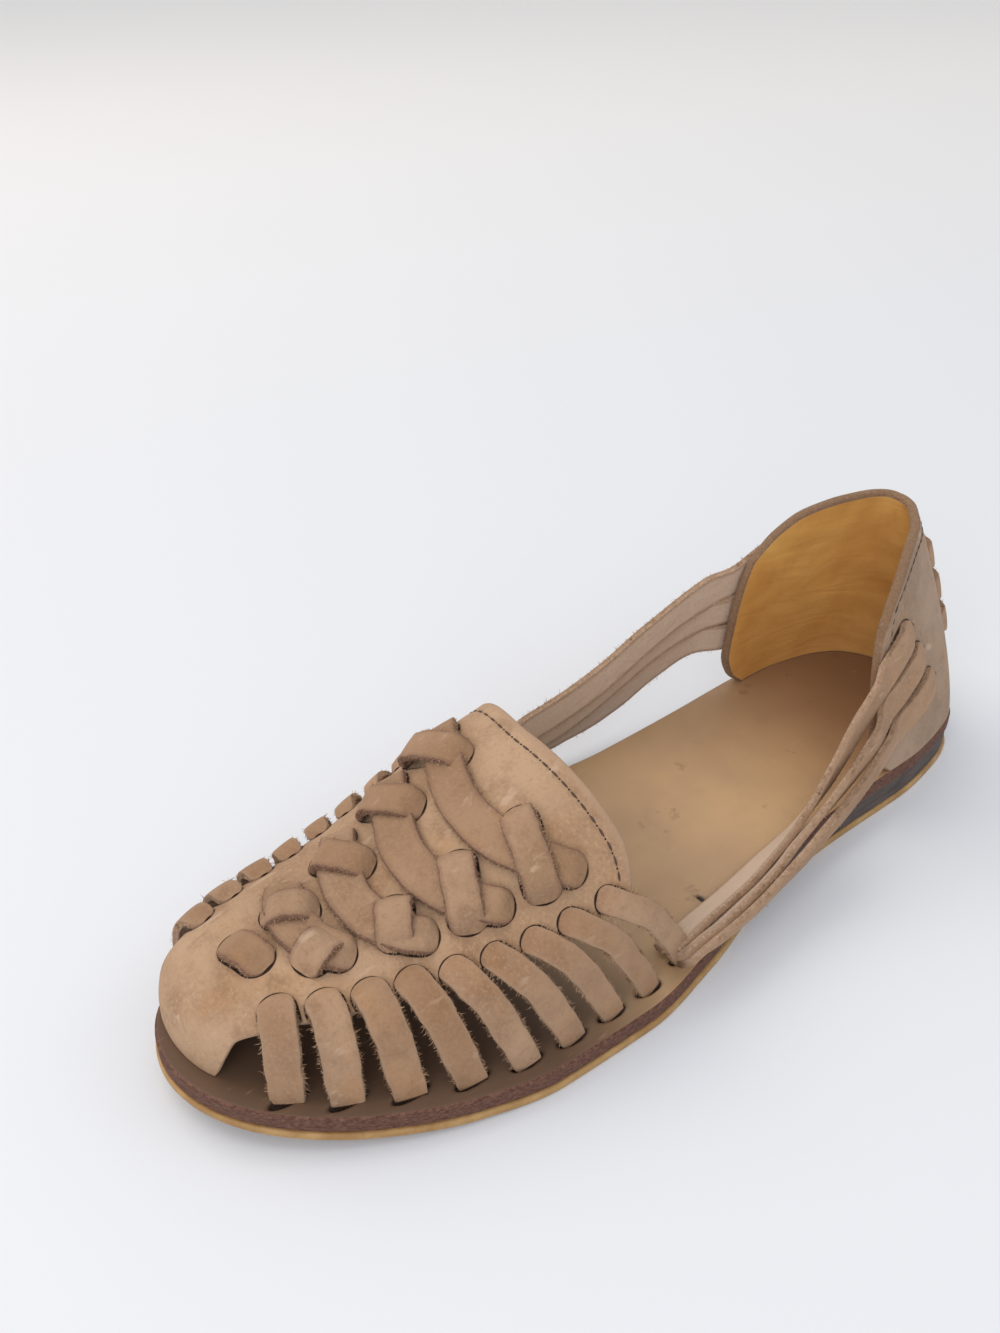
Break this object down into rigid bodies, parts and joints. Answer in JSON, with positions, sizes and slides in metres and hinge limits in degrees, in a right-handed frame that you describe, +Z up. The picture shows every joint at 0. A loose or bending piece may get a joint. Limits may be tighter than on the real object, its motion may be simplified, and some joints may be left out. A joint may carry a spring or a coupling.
{
  "type": "huarache sandal",
  "caption": "Flat leather huarache sandal with a woven closed-toe vamp, open thong loops along both sides, side straps and a tall slotted heel counter.",
  "frame": {"origin": "centre of the plan bounding box, on the floor under the outsole", "axes": "+Z up, toe towards -Y, lateral side towards +X"},
  "size_m": [0.0936, 0.258, 0.075],
  "materials": {
    "upper_leather": "tan nubuck",
    "thong_leather": "tan nubuck with raw edges",
    "footbed_leather": "smooth satin leather",
    "wedge_rubber": "matt",
    "crepe_rubber": "matt crepe"
  },
  "bodies": {
    "root": {"outsole": "crepe_rubber", "heel_wedge": "wedge_rubber", "footbed": "footbed_leather", "vamp": "upper_leather", "heel_counter": "upper_leather", "toe_loop": "thong_leather", "woven_unit_1": "thong_leather", "woven_unit_2": "thong_leather", "woven_unit_3": "thong_leather", "woven_unit_4": "thong_leather", "side_loop_lateral_1": "thong_leather", "side_loop_lateral_2": "thong_leather", "side_loop_lateral_3": "thong_leather", "side_loop_lateral_4": "thong_leather", "side_loop_lateral_5": "thong_leather", "side_loop_lateral_6": "thong_leather", "side_loop_lateral_7": "thong_leather", "side_loop_lateral_8": "thong_leather", "side_loop_lateral_9": "thong_leather", "side_loop_medial_1": "thong_leather", "side_loop_medial_2": "thong_leather", "side_loop_medial_3": "thong_leather", "side_loop_medial_4": "thong_leather", "side_loop_medial_5": "thong_leather", "side_loop_medial_6": "thong_leather", "side_loop_medial_7": "thong_leather", "side_loop_medial_8": "thong_leather", "side_loop_medial_9": "thong_leather", "quarter_strap_lateral_1": "thong_leather", "quarter_strap_lateral_2": "thong_leather", "quarter_strap_lateral_3": "thong_leather", "quarter_strap_medial_1": "thong_leather", "quarter_strap_medial_2": "thong_leather", "quarter_strap_medial_3": "thong_leather", "back_thong_1": "thong_leather", "back_thong_2": "thong_leather", "back_thong_3": "thong_leather"}
  },
  "joints": []
}
